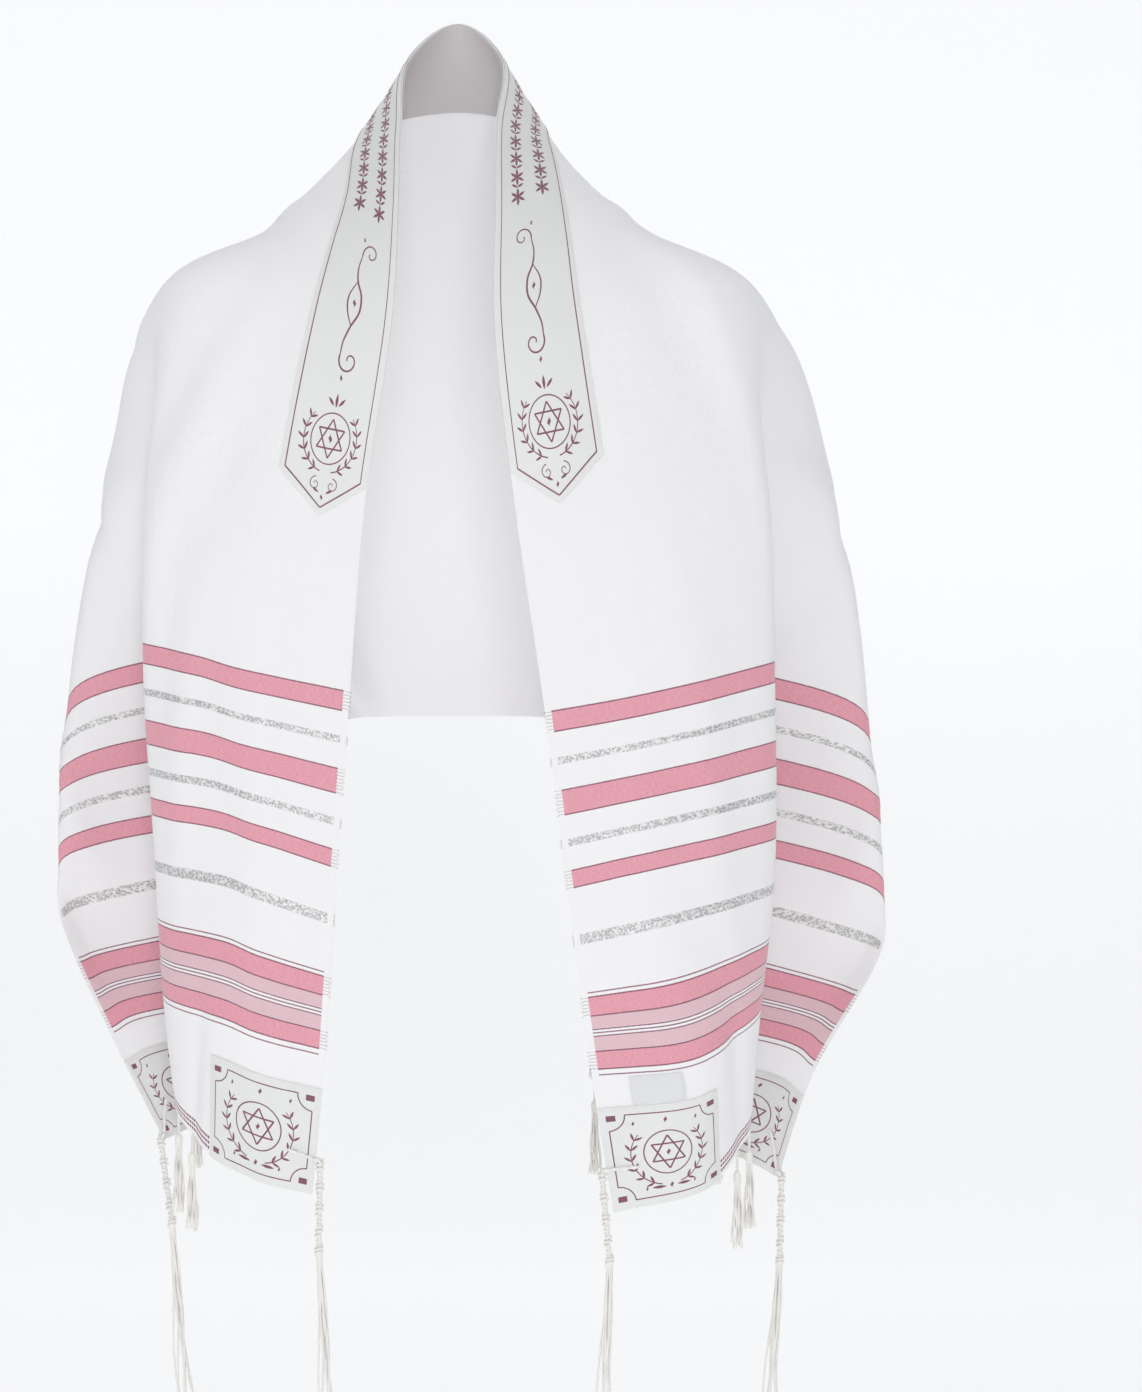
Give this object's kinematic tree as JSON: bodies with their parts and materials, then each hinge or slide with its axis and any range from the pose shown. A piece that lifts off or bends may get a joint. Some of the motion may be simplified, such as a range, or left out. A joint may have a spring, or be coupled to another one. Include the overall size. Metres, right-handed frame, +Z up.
{
  "type": "tallit prayer shawl",
  "caption": "White prayer shawl worn over neck and shoulders with no wearer: striped ends, neckband with pointed ends, corner patches, knotted corner threads and hem tassels.",
  "frame": {"origin": "base of the wearer's neck, on the centre plane, inside the neck loop", "axes": "+Z up, -Y towards the front, +X to the viewer's right"},
  "size_m": [0.6211, 0.3172, 1.0683],
  "materials": {
    "white_cloth": "matt white plain weave with woven pink and silver stripes near both short ends",
    "band_satin": "off-white satin with plum woven ornament",
    "facing_satin": "grey satin",
    "label_satin": "plain off-white woven tape",
    "thread": "white twisted thread"
  },
  "bodies": {
    "root": {"shawl": "white_cloth", "neckband": "band_satin", "neck_facing": "facing_satin", "label_tab": "label_satin", "patch_left_front": "band_satin", "patch_left_outer": "band_satin", "patch_right_front": "band_satin", "patch_right_outer": "band_satin", "corner_thread_left_front": "thread", "corner_thread_left_outer": "thread", "corner_thread_right_front": "thread", "corner_thread_right_outer": "thread", "tassel_left_1": "thread", "tassel_left_2": "thread", "tassel_left_3": "thread", "tassel_left_4": "thread", "tassel_left_5": "thread", "tassel_right_1": "thread", "tassel_right_2": "thread", "tassel_right_3": "thread", "tassel_right_4": "thread", "tassel_right_5": "thread"}
  },
  "joints": []
}
